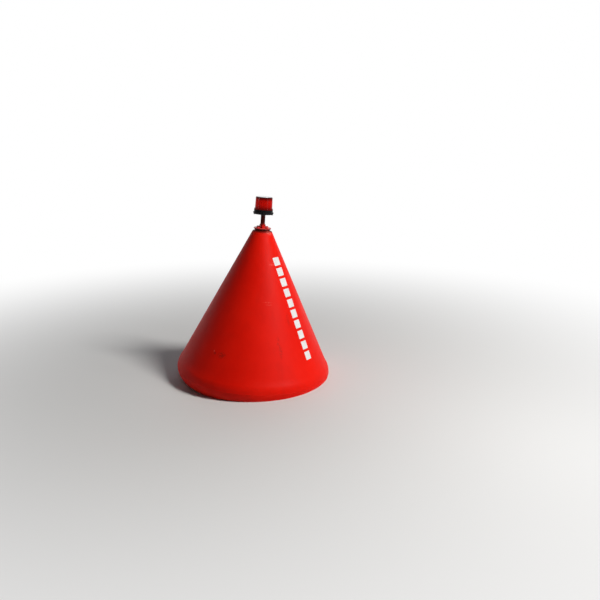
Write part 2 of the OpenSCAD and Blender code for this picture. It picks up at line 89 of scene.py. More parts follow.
# Marks of handling on the cone, and one painted highlight: place, reach around, through and along
# the skin, azimuth, tint, strength
SCUFF = (0.86, 0.16, 0.13)
GRIME = (0.28, 0.010, 0.006)
MARKS_AND_PAINTED_HIGHLIGHT = [
    ((-0.296, -0.390, 0.302), (0.006, 0.03, 0.008), -127, (0.72, 0.28, 0.24), 1.2),
    ((-0.288, -0.404, 0.290), (0.014, 0.03, 0.012), -126, (0.14, 0.008, 0.006), 0.8),
    ((-0.236, -0.437, 0.288), (0.042, 0.03, 0.030), -118, (0.22, 0.010, 0.006), 0.8),
    ((0.090, -0.161, 0.923), (0.034, 0.03, 0.010), -60, SCUFF, 0.45),
    ((0.070, -0.302, 0.667), (0.040, 0.03, 0.006), -77, SCUFF, 0.40),
    ((0.080, -0.305, 0.650), (0.030, 0.03, 0.006), -75, SCUFF, 0.30),
    ((0.168, -0.411, 0.395), (0.016, 0.04, 0.090), -68, GRIME, 0.45),
    ((0.230, -0.291, 0.545), (0.014, 0.04, 0.070), -52, GRIME, 0.40),
    ((0.192, -0.433, 0.335), (0.018, 0.04, 0.080), -66, GRIME, 0.45),
    # Painted highlight: a pale patch on the right of the cone's rounded top edge, where the light
    # glints
    ((0.051, -0.054, 1.142), (0.030, 0.03, 0.026), -47, (0.84, 0.17, 0.14), 0.7),
    ((0.300, 0.240, 0.420), (0.050, 0.04, 0.014), 39, SCUFF, 0.4),
    ((-0.200, 0.310, 0.500), (0.020, 0.04, 0.090), 123, GRIME, 0.4),
]


# Mesh helpers. A shape is a pair of points and faces

def at(x=0.0, y=0.0, z=0.0, turn=0.0):
    """A place that is then turned about Z, in degrees."""
    return Matrix.Rotation(math.radians(turn), 4, "Z") @ Matrix.Translation((x, y, z))


def placed(shape, place):
    verts, faces = shape
    return [place @ v for v in verts], faces


def joined(shapes):
    verts, faces = [], []
    for more_verts, more_faces in shapes:
        start = len(verts)
        verts += more_verts
        faces += [tuple(i + start for i in face) for face in more_faces]
    return verts, faces


def add_object(name, data):
    thing = bpy.data.objects.new(name, data)
    bpy.context.scene.collection.objects.link(thing)
    return thing


def loose_object(name, shape):
    verts, faces = shape
    mesh = bpy.data.meshes.new(name)
    mesh.from_pydata([tuple(v) for v in verts], [], faces)
    return add_object(name, mesh)


def dress(piece, node, slot=None, material=None, body="buoy", sharp=35):
    """Gives a piece its shading, material and body, and lets it stand for a node, which it hides. The
    material is that of the slot, and the slot that of the node, unless they are given."""
    slot = slot or SLOTS[node]
    mesh = piece.data
    mesh.shade_smooth()
    mesh.set_sharp_from_angle(angle=math.radians(sharp))
    mesh.materials.clear()
    mesh.materials.append(material or MATERIALS[slot])
    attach(piece, body)
    if node:
        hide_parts(node)


def solid(name, shape, node=None, **look):
    """A piece from a shape, with its faces turned outwards. look is passed on to dress."""
    piece = loose_object(name, shape)
    bm = bmesh.new()
    bm.from_mesh(piece.data)
    bmesh.ops.recalc_face_normals(bm, faces=bm.faces)
    bm.to_mesh(piece.data)
    bm.free()
    dress(piece, node, **look)
    return piece


def rounded(points, closed):
    """Outline in (radius, height) whose corners are rounded; each point is (r, z, fillet radius)."""
    hold, arc_step = 0.25 * MM, 12
    out = []
    for i, (r, z, fillet) in enumerate(points):
        corner = Vector((r, z))
        if fillet <= 0 or (not closed and i in (0, len(points) - 1)):
            out.append(corner)
            continue
        before = Vector(points[i - 1][:2]) - corner
        after = Vector(points[(i + 1) % len(points)][:2]) - corner
        half = before.angle(after) / 2
        reach = min(fillet / math.tan(half), 0.45 * before.length, 0.45 * after.length)
        radius = reach * math.tan(half)
        before.normalize()
        after.normalize()
        centre = corner + (before + after).normalized() * radius / math.sin(half)
        first = corner + before * reach - centre
        last = corner + after * reach - centre
        turn = first.angle_signed(last)
        steps = max(2, math.ceil(abs(math.degrees(turn)) / arc_step))
        out.append(centre + first + before * hold)
        for k in range(steps + 1):
            a = -turn * k / steps
            out.append(centre + Vector((first.x * math.cos(a) - first.y * math.sin(a),
                                        first.x * math.sin(a) + first.y * math.cos(a))))
        out.append(centre + last + after * hold)
    return out


def skin(rings, closed=False, capped=False):
    """A skin through rings of points; a ring of one point is a pole."""
    verts, rows, faces = [], [], []
    for points in rings:
        rows.append(range(len(verts), len(verts) + len(points)))
        verts += points
    for low, high in zip(rows, rows[1:] + rows[:closed]):
        count = max(len(low), len(high))
        for k in range(count if count > 1 else 0):
            n = (k + 1) % count
            if len(low) == 1:
                faces.append((low[0], high[n], high[k]))
            elif len(high) == 1:
                faces.append((low[k], low[n], high[0]))
            else:
                faces.append((low[k], low[n], high[n], high[k]))
    if capped:
        faces += [tuple(reversed(rows[0])), tuple(rows[-1])]
    return verts, faces


def circle(radius, z, count):
    turns = [2 * math.pi * k / count for k in range(count)]
    return [Vector((radius * math.cos(a), radius * math.sin(a), z)) for a in turns]


def lathe(profile, segments=96, closed=False):
    """A body of revolution about Z, from (radius, height)."""
    return skin([circle(r, z, segments if r > 1e-7 else 1) for r, z in profile], closed)


def revolved(outline, segments=96, closed=False):
    """A body of revolution from (radius, height, fillet radius), up the outside."""
    return lathe(rounded(outline, closed), segments, closed)


def bar(radius, low, high, segments):
    """A plain round bar to cut with."""
    return lathe([(0, low), (radius, low), (radius, high), (0, high)], segments)


def disc(outer, low, high, fillet, inner=0):
    """Outline of a disc or ring with rounded outer edges."""
    return [(inner, low, 0), (outer, low, fillet), (outer, high, fillet), (inner, high, 0)]


def node_ring(node):
    """Outer radius, lowest and highest level of a node that is turned about the buoy's axis."""
    low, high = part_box(node)
    return high.x, low.z, high.z


def turned(name, node, outline, segments, closed=False, material=None):
    solid(name, revolved(outline, segments, closed), node, material=material)


def ring(name, node, inner, fillet, segments=96, material=None):
    """A disc or ring that stands for a node."""
    r, low, high = node_ring(node)
    turned(name, node, disc(r, low, high, fillet, inner), segments, inner > 0, material)


def bevelled(outline, thickness, fillet):
    """A flat plate with broken edges, drawn in X and Y and centred on Z."""
    bm = bmesh.new()
    base = [bm.verts.new((x, y, -thickness / 2)) for x, y in outline]
    face = bm.faces.new(base)
    top = bmesh.ops.extrude_face_region(bm, geom=[face])["geom"]
    bmesh.ops.translate(bm, vec=(0, 0, thickness),
                        verts=[g for g in top if isinstance(g, bmesh.types.BMVert)])
    bmesh.ops.recalc_face_normals(bm, faces=bm.faces)
    edges = [e for e in bm.edges if e.calc_face_angle(0) > math.radians(30)]
    bmesh.ops.bevel(bm, geom=edges, offset=fillet, segments=2, profile=0.5, affect="EDGES",
                    clamp_overlap=True)
    bm.verts.index_update()
    verts = [v.co.copy() for v in bm.verts]
    faces = [tuple(v.index for v in f.verts) for f in bm.faces]
    bm.free()
    return verts, faces


def hex_shape(across_flats, height, both=False, hole_r=0.0):
    """A hexagon with chamfered corners, standing on Z = 0."""
    segments = 72
    chamfer_r = 0.94 * across_flats / 2
    columns = []
    for k in range(segments):
        a = 2 * math.pi * k / segments
        r = across_flats / 2 / math.cos((a + math.pi / 6) % (math.pi / 3) - math.pi / 6)
        drop = (r - chamfer_r) * math.tan(math.radians(30))
        levels = [(chamfer_r, 0), (r, drop)] if both else [(r, 0), (r, 0.02 * height)]
        levels += [(r, height - drop), (chamfer_r, height)]
        columns.append([Vector((q * math.cos(a), q * math.sin(a), z)) for q, z in levels])
    foot, head = [circle(hole_r, z, segments if hole_r else 1) for z in (0, height)]
    return skin([foot, *map(list, zip(*columns)), head], closed=hole_r > 0)


def sweep(path, radius, closed=True, sides=8):
    """A round bar along a path; radius is a number or one for each point of the path."""
    count = len(path)
    sizes = radius if isinstance(radius, list) else [radius] * count

    def along(i):
        if closed:
            return (path[(i + 1) % count] - path[i - 1]).normalized()
        return (path[min(i + 1, count - 1)] - path[max(i - 1, 0)]).normalized()

    tangent = along(0)
    side = tangent.orthogonal().normalized()
    frames = []
    for i in range(count):
        side = tangent.rotation_difference(along(i)) @ side
        tangent = along(i)
        side = (side - tangent * side.dot(tangent)).normalized()
        frames.append((side, tangent.cross(side)))
    slip = 0.0
    if closed:
        end = tangent.rotation_difference(along(0)) @ side
        slip = math.atan2(end.dot(frames[0][1]), end.dot(frames[0][0]))
    rings = []
    for i, (u, w) in enumerate(frames):
        turns = [2 * math.pi * j / sides - slip * i / count for j in range(sides)]
        rings.append([path[i] + (u * math.cos(b) + w * math.sin(b)) * sizes[i] for b in turns])
    return skin(rings, closed, capped=not closed)


# Weld beads: length of a step along the seam, and of a ripple
WELD_STEP = 1.2 * MM
WELD_RIPPLE = 5 * MM


def bead_sizes(bead, count, waves, seed):
    """Radius of a bead at each step, rippled as it was laid; waves is ripples for each step."""
    rng = random.Random(seed)
    return [bead * (1 + 0.10 * math.sin(2 * math.pi * waves * k) + 0.04 * rng.uniform(-1, 1))
            for k in range(count)]


def weld(path, bead, seed):
    """A weld bead along a closed path."""
    fine, total = [], 0
    for start, end in zip(path[-1:] + path[:-1], path):
        parts = max(1, round((end - start).length / WELD_STEP))
        fine += [start + (end - start) * k / parts for k in range(parts)]
        total += (end - start).length
    waves = round(total / WELD_RIPPLE) / len(fine)
    return sweep(fine, bead_sizes(bead, len(fine), waves, seed))


def run_weld(start, end, bead, seed):
    """A straight weld bead with rounded ends."""
    count = round((end - start).length / WELD_STEP)
    sizes = bead_sizes(bead, count + 1, 1 / 4.2, seed)
    for i, share in enumerate((0.35, 0.8)):
        sizes[i] *= share
        sizes[-1 - i] *= share
    return sweep([start.lerp(end, k / count) for k in range(count + 1)], sizes, closed=False)


def ring_plate(radius_at, hole_r, thickness, fillet, hole_fillet):
    """A flat plate with a round hole, centred on thickness; radius_at gives its outer edge."""
    segments, half = 180, thickness / 2
    sines = [(math.sin(math.radians(a)), math.cos(math.radians(a))) for a in (0, 30, 60, 90)]
    section = [(0, hole_fillet * (1 - s), -half + hole_fillet * (1 - c)) for s, c in reversed(sines)]
    section += [(1, -fillet * (1 - s), -half + fillet * (1 - c)) for s, c in sines]
    section += [(outer, dr, -z) for outer, dr, z in reversed(section)]
    rings = []
    for outer, dr, z in section:
        rings.append([])
        for k in range(segments):
            a = 2 * math.pi * k / segments
            r = (radius_at(a) if outer else hole_r) + dr
            rings[-1].append(Vector((r * math.cos(a), r * math.sin(a), z)))
    return skin(rings, closed=True)


def modified(piece, *changes):
    """Adds modifiers, given as (kind, settings), and keeps their result as the piece's mesh."""
    for kind, settings in changes:
        change = piece.modifiers.new(kind.lower(), kind)
        for key, value in settings.items():
            setattr(change, key, value)
    bpy.context.view_layer.update()
    graph = bpy.context.evaluated_depsgraph_get()
    mesh = bpy.data.meshes.new_from_object(piece.evaluated_get(graph))
    piece.modifiers.clear()
    old = piece.data
    piece.data = mesh
    bpy.data.meshes.remove(old)


def cut(piece, shapes):
    """Takes shapes away from a piece."""
    tool = loose_object("cutter", joined(shapes))
    modified(piece, ("BOOLEAN", {"operation": "DIFFERENCE", "solver": "EXACT", "object": tool}))
    mesh = tool.data
    bpy.data.objects.remove(tool)
    bpy.data.meshes.remove(mesh)


def forged(name, node, body, shapes, voxel, bore):
    """One skin over several overlapping shapes, with the soft inner corners of a forging."""
    piece = loose_object(name, joined(shapes))
    modified(piece, ("REMESH", {"mode": "VOXEL", "voxel_size": voxel, "use_smooth_shade": True}),
             ("SMOOTH", {"factor": 0.5, "iterations": 6}))
    cut(piece, [bore])
    dress(piece, node, body=body, sharp=40)


# Materials

class Nodes:
    """The nodes of a new material or world, with short calls for those that are used here."""

    def __init__(self, name, kind=bpy.data.materials, space="Object"):
        self.owner = kind.new(name)
        self.owner.use_nodes = True
        self.tree = self.owner.node_tree
        self.place = self.new("TexCoord").outputs[space]

    def feed(self, socket, value):
        """Links a socket to another one, or sets it."""
        if isinstance(value, bpy.types.NodeSocket):
            self.tree.links.new(value, socket)
        elif socket.type == "RGBA":
            socket.default_value = (*value, 1)
        else:
            socket.default_value = value

    def new(self, kind, *values, **named):
        """Adds a node. Values feed its inputs in order; a name in small letters is a property of
        the node, and any other name an input."""
        node = self.tree.nodes.new("ShaderNode" + kind)
        feeds = list(zip(node.inputs, values))
        for key, value in named.items():
            if key.islower():
                setattr(node, key, value)
            else:
                feeds.append((node.inputs[key.replace("_", " ")], value))
        for socket, value in feeds:
            self.feed(socket, value)
        return node

    def noise(self, scale, detail, rough, stretch=None, distortion=0.0):
        place = self.place
        if stretch:
            place = self.new("Mapping", place, Scale=stretch).outputs["Vector"]
        return self.new("TexNoise", Vector=place, Scale=scale, Detail=detail, Roughness=rough,
                        Distortion=distortion).outputs["Fac"]

    def cells(self, scale, output, feature="F1", randomness=1.0):
        return self.new("TexVoronoi", self.place, feature=feature, Scale=scale,
                        Randomness=randomness).outputs[output]

    def ramp(self, value, low, high, start=0.3, end=0.7):
        """Goes from low to high, two colours or two greys, as value goes from start to end."""
        node = self.new("ValToRGB", value)
        for element, position, colour in zip(node.color_ramp.elements, (start, end), (low, high)):
            element.position = position
            element.color = (*colour, 1) if isinstance(colour, tuple) else (colour, colour, colour, 1)
        return node.outputs["Color"]

    def mix(self, fac, a, b):
        node = self.new("Mix", fac, data_type="RGBA")
        self.feed(node.inputs[6], a)
        self.feed(node.inputs[7], b)
        return node.outputs[2]

    def math(self, operation, *values):
        return self.new("Math", *values, operation=operation).outputs[0]

    def times(self, a, b):
        return self.math("MULTIPLY", a, b)

    def axis(self, name):
        return self.new("SeparateXYZ", self.place).outputs[name]

    def length(self, value):
        return self.new("VectorMath", value, operation="LENGTH").outputs["Value"]

    def near(self, centre, reach, azimuth):
        """1 at a place and 0 beyond its reach around, through and along the skin."""
        node = self.new("Mapping", self.place, vector_type="TEXTURE", Location=centre, Scale=reach,
                        Rotation=(0, 0, math.radians(azimuth + 90)))
        return self.ramp(self.length(node.outputs["Vector"]), 1.0, 0.0, 0.35, 1.0)

    def span(self, value, low, high, start=0.0, end=1.0, how="SMOOTHSTEP"):
        """Goes from start to end as value goes from low to high."""
        return self.new("MapRange", value, interpolation_type=how, From_Min=low, From_Max=high,
                        To_Min=start, To_Max=end).outputs["Result"]

    def level(self, low, high, start=0.0, end=1.0):
        return self.span(self.axis("Z"), low, high, start, end)

    def finish(self, colour, roughness, *bumps, **settings):
        """Sets up the shader; bumps are (height, strength, distance), one over the other."""
        normal = None
        for height, strength, distance in bumps:
            node = self.new("Bump", Height=height, Strength=strength, Distance=distance)
            if normal:
                self.feed(node.inputs["Normal"], normal)
            normal = settings["Normal"] = node.outputs["Normal"]
        shader = self.tree.nodes["Principled BSDF"]
        settings |= {"Base_Color": colour, "Roughness": roughness}
        for key, value in settings.items():
            self.feed(shader.inputs[key.replace("_", " ")], value)
        return self.owner

    def backdrop(self, share, shader, white, output):
        """Shows plain white in place of a shader, to the camera, gloss and glass alone."""
        rays = self.new("LightPath").outputs
        seen = self.math("MAXIMUM", rays["Is Camera Ray"], rays["Is Glossy Ray"])
        seen = self.math("MAXIMUM", seen, rays["Is Transmission Ray"])
        mixer = self.new("MixShader", self.times(share, seen), shader, white)
        self.feed(self.tree.nodes[output].inputs["Surface"], mixer.outputs["Shader"])


def red_polyethylene():
    """Moulded red plastic: faded patches, fine scratches, marks of handling, a dull film low down,
    painted shade under the top plate and a painted highlight on the cone's top edge.
    """
    n = Nodes("red_polyethylene")
    fade = n.noise(3.2, 5, 0.6)
    red = n.ramp(fade, (0.68, 0.0056, 0.0008), (0.76, 0.0080, 0.0014))
    streaks = n.ramp(n.noise(11, 6, 0.65, stretch=(1, 1, 0.10)), 0.0, 0.28, 0.50, 0.76)
    red = n.mix(streaks, red, (0.50, 0.006, 0.002))
    chalk = n.ramp(n.noise(16, 8, 0.7), 0.0, 0.07, 0.55, 0.80)
    red = n.mix(chalk, red, (0.80, 0.07, 0.05))
    # Painted shade: the neck and the top of the cone darken under the top plate's overhang
    grime_and_painted_shade = n.level(CONE_TOP_Z - 14 * MM, CONE_TOP_Z - 1 * MM, 0.0, 0.88)
    red = n.mix(grime_and_painted_shade, red, (0.080, 0.0036, 0.0016))
    ragged = n.ramp(n.noise(85, 5, 0.7), 0.0, 1.0, 0.42, 0.60)
    for centre, reach, azimuth, tint, strength in MARKS_AND_PAINTED_HIGHLIGHT:
        mark = n.times(n.near(centre, reach, azimuth), strength)
        red = n.mix(n.times(mark, ragged), red, tint)
    stain = n.ramp(n.noise(6.5, 9, 0.68), 0.15, 1.0, 0.38, 0.66)
    film = n.mix(stain, (0.36, 0.020, 0.010), (0.12, 0.060, 0.020))
    red = n.mix(n.times(n.level(-0.03, 0.03, 0.55, 0.0), stain), red, film)
    scratches = n.noise(60, 3, 0.5, stretch=(1, 1, 0.08), distortion=0.4)
    rough = n.ramp(n.mix(0.5, scratches, fade), 0.42, 0.58, 0.35, 0.65)
    return n.finish(red, rough, (n.noise(420, 2, 0.5), 0.10, 0.0006), (scratches, 0.05, 0.0008),
                    Specular_IOR_Level=0.08)


def red_paint(name, shaded_mast=False):
    """Red paint on steel with small chips. On the top plate it is chalky, the chalk partly a painted
    sheen on its top face, and has painted shade on its edge. The mast is dull, with painted shade
    above its foot."""
    n = Nodes(name)
    wear = n.noise(45, 6, 0.6)
    red = n.ramp(wear, (0.58, 0.012, 0.007), (0.68, 0.020, 0.013))
    if shaded_mast:
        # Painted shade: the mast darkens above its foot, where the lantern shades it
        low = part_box("mast_pipe")[0].z
        dark = n.ramp(n.noise(80, 6, 0.7), (0.045, 0.004, 0.002), (0.085, 0.007, 0.003), 0.35, 0.65)
        red = n.mix(n.level(low + 8 * MM, low + 40 * MM), red, dark)
    else:
        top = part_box("top_plate")[1].z
        # A chalky fade, and in part a painted sheen on the plate's top face
        red = n.mix(n.ramp(n.noise(55, 6, 0.7), 0.15, 0.75), red, (0.60, 0.075, 0.065))
        # Painted shade: the plate's edge below its top face is dark
        red = n.mix(n.level(top - 3.0 * MM, top - 1.2 * MM), (0.15, 0.005, 0.003), red)
    chips = n.ramp(n.noise(130, 5, 0.7), 0.0, 1.0, 0.70, 0.74)
    return n.finish(n.mix(chips, red, (0.10, 0.030, 0.014)), n.ramp(wear, 0.30, 0.45),
                    (chips, -0.35, 0.0004), (n.noise(260, 2, 0.5), 0.08, 0.0004),
                    Specular_IOR_Level=0.05 if shaded_mast else 0.14)


def clouded(name, tone, rough, grain, specular=0.5):
    """One slightly uneven colour. tone and rough are a noise, low and high, and grain is a noise
    with a bump's strength and distance."""
    n = Nodes(name)
    return n.finish(n.ramp(n.noise(*tone[0]), *tone[1:]), n.ramp(n.noise(*rough[0]), *rough[1:]),
                    (n.noise(*grain[0]), *grain[1:]), Specular_IOR_Level=specular)


def rubber(name, dark, light, specular):
    return clouded(name, ((60, 5, 0.6), dark, light), ((90, 4, 0.6), 0.62, 0.80),
                   ((700, 3, 0.6), 0.25, 0.0003), specular)


def galvanised():
    """Hot-dip zinc: fine spangle, dull patches and a white bloom."""
    n = Nodes("galvanised")
    spangle = n.cells(210, "Color")
    bloom = n.noise(18, 6, 0.6)
    zinc = n.mix(0.35, n.ramp(spangle, 0.40, 0.50, 0.1, 0.9), (0.42, 0.44, 0.45))
    zinc = n.mix(n.ramp(bloom, 0.0, 0.6, 0.50, 0.72), zinc, (0.52, 0.53, 0.52))
    rough = n.mix(n.ramp(bloom, 0.0, 1.0, 0.50, 0.72), n.ramp(spangle, 0.36, 0.46, 0.1, 0.9),
                  (0.66, 0.66, 0.66))
    return n.finish(zinc, rough, (n.noise(140, 5, 0.6), 0.22, 0.0006),
                    (n.cells(210, "Distance"), 0.05, 0.0002), Metallic=0.85)


def cast_iron():
    """Cast discs under a black bitumen coat, rough from the sand mould."""
    n = Nodes("cast_iron")
    coat = n.ramp(n.noise(26, 6, 0.6), (0.020, 0.021, 0.022), (0.050, 0.050, 0.050))
    rust = n.ramp(n.noise(34, 8, 0.7), 0.0, 1.0, 0.62, 0.74)
    rough = n.mix(rust, n.ramp(n.noise(50, 4, 0.6), 0.40, 0.60), (0.85, 0.85, 0.85))
    return n.finish(n.mix(rust, coat, (0.13, 0.045, 0.018)), rough,
                    (n.noise(220, 6, 0.7), 0.45, 0.0010))


def black_paint():
    """Black paint on the plate under the lantern, rubbed through to primer in a few spots."""
    n = Nodes("black_paint")
    worn = n.ramp(n.noise(110, 5, 0.7), 0.0, 1.0, 0.70, 0.74)
    coat = n.ramp(n.noise(40, 5, 0.6), (0.008, 0.008, 0.008), (0.015, 0.015, 0.014))
    return n.finish(n.mix(worn, coat, (0.075, 0.035, 0.024)),
                    n.ramp(n.noise(60, 5, 0.6), 0.34, 0.48), (worn, -0.30, 0.0003),
                    (n.noise(300, 2, 0.5), 0.08, 0.0003), Specular_IOR_Level=0.10)


def red_lens():
    """Red tinted polycarbonate, hazed by weather; painted shade darkens its two ends, by the tray and
    the housing.
    """
    n = Nodes("red_lens")
    haze = n.noise(40, 5, 0.6)
    red = n.ramp(haze, (0.40, 0.0030, 0.0010), (0.47, 0.0045, 0.0016))
    low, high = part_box("lantern_lens")
    tall = high.z - low.z
    # Painted shade: the lens darkens towards its foot at the housing and towards its head under the
    # bezel
    foot = n.level(low.z - 0.10 * tall, low.z + 0.50 * tall)
    head = n.level(high.z - 0.30 * tall, high.z + 0.10 * tall, 1.0, 0.0)
    return n.finish(n.mix(n.times(foot, head), (0.060, 0.0012, 0.0006), red),
                    n.ramp(haze, 0.14, 0.22), (n.noise(70, 3, 0.5), 0.04, 0.0006),
                    Specular_IOR_Level=0.03)


def solar_cells(name):
    """Dark blue cells with silver fingers and busbars under a clear glossy layer, black round them."""
    cells_r = 49 * MM
    n = Nodes(name)
    cell = n.ramp(n.cells(160, "Color"), (0.010, 0.016, 0.050), (0.022, 0.034, 0.095), 0.1, 0.9)
    x, y = n.axis("X"), n.axis("Y")

    def lines(value, pitch, width):
        part = n.math("FRACT", n.math("ADD", n.math("DIVIDE", value, pitch), 100.5))
        return n.math("LESS_THAN", part, width / pitch)

    fingers = n.times(lines(x, 2.1 * MM, 0.18 * MM), 0.55)
    bars = n.math("MAXIMUM", lines(y, 33 * MM, 1.2 * MM), lines(x, 33 * MM, 1.6 * MM))
    lined = n.mix(n.math("MAXIMUM", fingers, bars), cell, (0.42, 0.43, 0.44))
    radius = n.math("SQRT", n.math("ADD", n.times(x, x), n.times(y, y)))
    return n.finish(n.mix(n.math("GREATER_THAN", radius, cells_r), lined, (0.012, 0.012, 0.013)),
                    n.ramp(n.noise(60, 4, 0.5), 0.14, 0.24), Coat_Weight=1.0, Coat_Roughness=0.04,
                    Coat_IOR=1.6)


def white_film():
    """Retroreflective sheeting: white, with a fine honeycomb of sealed cells."""
    n = Nodes("white_film")
    comb = n.cells(330, "Distance", "DISTANCE_TO_EDGE", 0.15)
    face = n.ramp(comb, (0.58, 0.57, 0.58), (0.74, 0.73, 0.73), 0.02, 0.09)
    grime_and_painted_shade = n.ramp(n.noise(28, 6, 0.6), 0.0, 0.30, 0.45, 0.80)
    return n.finish(n.mix(grime_and_painted_shade, face, (0.52, 0.42, 0.39)), n.ramp(n.noise(50, 4, 0.6), 0.28, 0.45),
                    (comb, 0.06, 0.0002))


MATERIALS = {
    "red_pe": red_polyethylene(),
    "red_paint": red_paint("red_paint"),
    "rubber": rubber("rubber", (0.012, 0.012, 0.012), (0.030, 0.029, 0.028), 0.5),
    "galvanised": galvanised(),
    "cast_iron": cast_iron(),
    "black_paint": black_paint(),
    "black_plastic": clouded("black_plastic", ((30, 5, 0.6), (0.004, 0.004, 0.0045),
                                               (0.009, 0.009, 0.010)),
                             ((40, 5, 0.6), 0.36, 0.52), ((1400, 2, 0.5), 0.20, 0.0002), 0.06),
    "red_lens": red_lens(),
    "lamp_white": clouded("lamp_white", ((80, 4, 0.5), (0.62, 0.62, 0.58), (0.72, 0.72, 0.69)),
                          ((120, 4, 0.6), 0.35, 0.5), ((300, 3, 0.5), 0.1, 0.0003)),
    "solar_cells": solar_cells("solar_cells"),
    "cover": solar_cells("panel_cover"),
    "white_film": white_film(),
}
MAST_PAINT = red_paint("mast_paint", shaded_mast=True)
PAINTED_RUBBER = rubber("painted_rubber", (0.050, 0.004, 0.003), (0.120, 0.006, 0.004), 0.2)
for part in frame["record"]["subparts"]:
    node = frame["nodes"][part["node"]]
    node.data.materials.clear()
    node.data.materials.append(MATERIALS[part["material_slot"]])


# Float

def unit(angle):
    return Vector((math.cos(angle), math.sin(angle)))


def angle_of(v):
    return math.atan2(v.y, v.x)


def touch_angle(point, centre, radius, turn):
    """Angle of the normal of the line from a point that touches a circle."""
    away = point - centre
    return angle_of(away) + turn * math.acos(radius / away.length)


def corner_centre(point, n1, n2, radius):
    return point - radius * (n1 + n2) / (1 + n1.dot(n2))


def arc(centre, radius, start, end, steps):
    return [centre + radius * unit(start + (end - start) * k / steps) for k in range(steps + 1)]


RIM_CENTRE = Vector((FLOAT_R - RIM_R, RIM_Z))
BASE_Z, NECK_Z = [corner.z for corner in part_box("float_body")]
CONE_ANGLE = touch_angle(Vector((CONE_TOP_R, CONE_TOP_Z)), RIM_CENTRE, RIM_R - RIM_PROUD, -1)
UNDER_ANGLE = touch_angle(Vector((BASE_R, BASE_Z)), RIM_CENTRE, RIM_R, 1)
APEX_Z = CONE_TOP_Z + CONE_TOP_R / math.tan(CONE_ANGLE)


def float_outline():
    """The float's outline from the hole in its base, round the rim and up to the neck."""
    up = Vector((0, 1))
    cone_n, under_n = unit(CONE_ANGLE), unit(UNDER_ANGLE)
    base_c = corner_centre(Vector((BASE_R, BASE_Z)), under_n, -up, BASE_EDGE_R)
    top_c = corner_centre(Vector((CONE_TOP_R, CONE_TOP_Z)), cone_n, up, CONE_EDGE_R)
    # A wide hollow leads from the cone's face over to the rim
    inner = RIM_R - RIM_PROUD
    along = math.sqrt((RIM_R + RIM_BLEND_R) ** 2 - (inner + RIM_BLEND_R) ** 2)
    slope = Vector((-cone_n.y, cone_n.x))
    blend_c = RIM_CENTRE + (inner + RIM_BLEND_R) * cone_n + along * slope
    rim_end = angle_of(blend_c - RIM_CENTRE)
    parting = math.asin(PARTING_W / 2 / RIM_R)
    points = [(TUBE_HOLE_R, BASE_Z)]
    points += [(BASE_R * f, BASE_Z) for f in (0.4, 0.7, 0.85)]
    points += arc(base_c, BASE_EDGE_R, -math.pi / 2, UNDER_ANGLE, 10)
    start = points[-1]
    end = RIM_CENTRE + RIM_R * under_n
    points += [start.lerp(end, f) for f in (0.02, 0.25, 0.5, 0.75, 0.98)]
    points += arc(RIM_CENTRE, RIM_R, UNDER_ANGLE, -parting, 16)
    points += [(FLOAT_R + PARTING_PROUD * f, RIM_Z + PARTING_W / 2 * h)
               for f, h in ((0.55, -0.86), (1.0, -0.45), (1.0, 0.45), (0.55, 0.86))]
    points += arc(RIM_CENTRE, RIM_R, parting, rim_end, 14)
    points += arc(blend_c, RIM_BLEND_R, rim_end - math.pi, CONE_ANGLE - math.pi, 8)[1:]
    start = points[-1]
    end = top_c + CONE_EDGE_R * cone_n
    points += [start.lerp(end, f) for f in [k / 24 for k in range(1, 24)] + [0.995]]
    points += arc(top_c, CONE_EDGE_R, CONE_ANGLE, math.pi / 2, 8)
    points += [(NECK_R + 1.5 * MM, CONE_TOP_Z), (NECK_R, CONE_TOP_Z + 1.0 * MM)]
    points += [(NECK_R, NECK_Z - 1.0 * MM), (NECK_R - 1.0 * MM, NECK_Z), (TUBE_HOLE_R, NECK_Z)]
    return points


def mould_wave(v):
    """The slight unevenness of a moulded skin, inwards only, none at the neck and the base."""
    r = math.hypot(v.x, v.y)
    if r < NECK_R + 2 * MM or v.z < BASE_Z + 1 * MM:
        return Vector((0, 0, 0))
    low = noise.noise(v * 3.1 + Vector((7.3, 1.9, 4.4)))
    fine = noise.noise(v * 9.0 + Vector((2.1, 5.7, 0.6)))
    depth = 0.9 * MM * (0.5 + 0.5 * low) + 0.25 * MM * (0.5 + 0.5 * fine)
    return Vector((-v.x / r, -v.y / r, 0)) * depth


def build_float():
    verts, faces = lathe(float_outline(), 256, closed=True)
    shape = [v + mould_wave(v) for v in verts], faces
    piece = solid("float_skin", shape, "float_body", sharp=50)
    recess = bar(PLUG_R, BASE_Z - 5 * MM, BASE_Z + 8 * MM, 48)
    cut(piece, [placed(recess, at(y=y)) for y in (-PLUG_AT, PLUG_AT)])


# White retroreflective squares down the cone: height and azimuth of the first and the last

PATCHES = 10
PATCH_SIDE = 62 * MM
PATCH_TOP = (0.943, -45.0)
PATCH_LOW = (0.279, -37.2)
PATCH_FACE = 0.40 * MM
PATCH_BACK = -0.6 * MM


def unrolled(z, azimuth):
    """Place of a point of the cone when the cone's face is laid out flat."""
    slant = (APEX_Z - z) / math.cos(CONE_ANGLE)
    return slant * unit(math.radians(azimuth) * math.sin(CONE_ANGLE))


def rolled(p, lift):
    """Place on the cone of a point of the flat layout, raised from the face."""
    around = unit(angle_of(p) / math.sin(CONE_ANGLE)).to_3d()
    up = Vector((0, 0, 1))
    place = around * p.length * math.sin(CONE_ANGLE) + up * (APEX_Z - p.length * math.cos(CONE_ANGLE))
    out = around * math.cos(CONE_ANGLE) + up * math.sin(CONE_ANGLE)
    return place + mould_wave(place) + out * lift


def rounded_square(side, fillet):
    per_side, per_corner = 8, 6
    points = []
    for corner, (x, y) in enumerate(((1, 1), (-1, 1), (-1, -1), (1, -1))):
        start = corner * math.pi / 2
        centre = Vector((x, y)) * (side / 2 - fillet)
        points += arc(centre, fillet, start, start + math.pi / 2, per_corner)
        step = unit(start + math.pi) * (side - 2 * fillet) / per_side
        points += [points[-1] + step * k for k in range(1, per_side)]
    return points


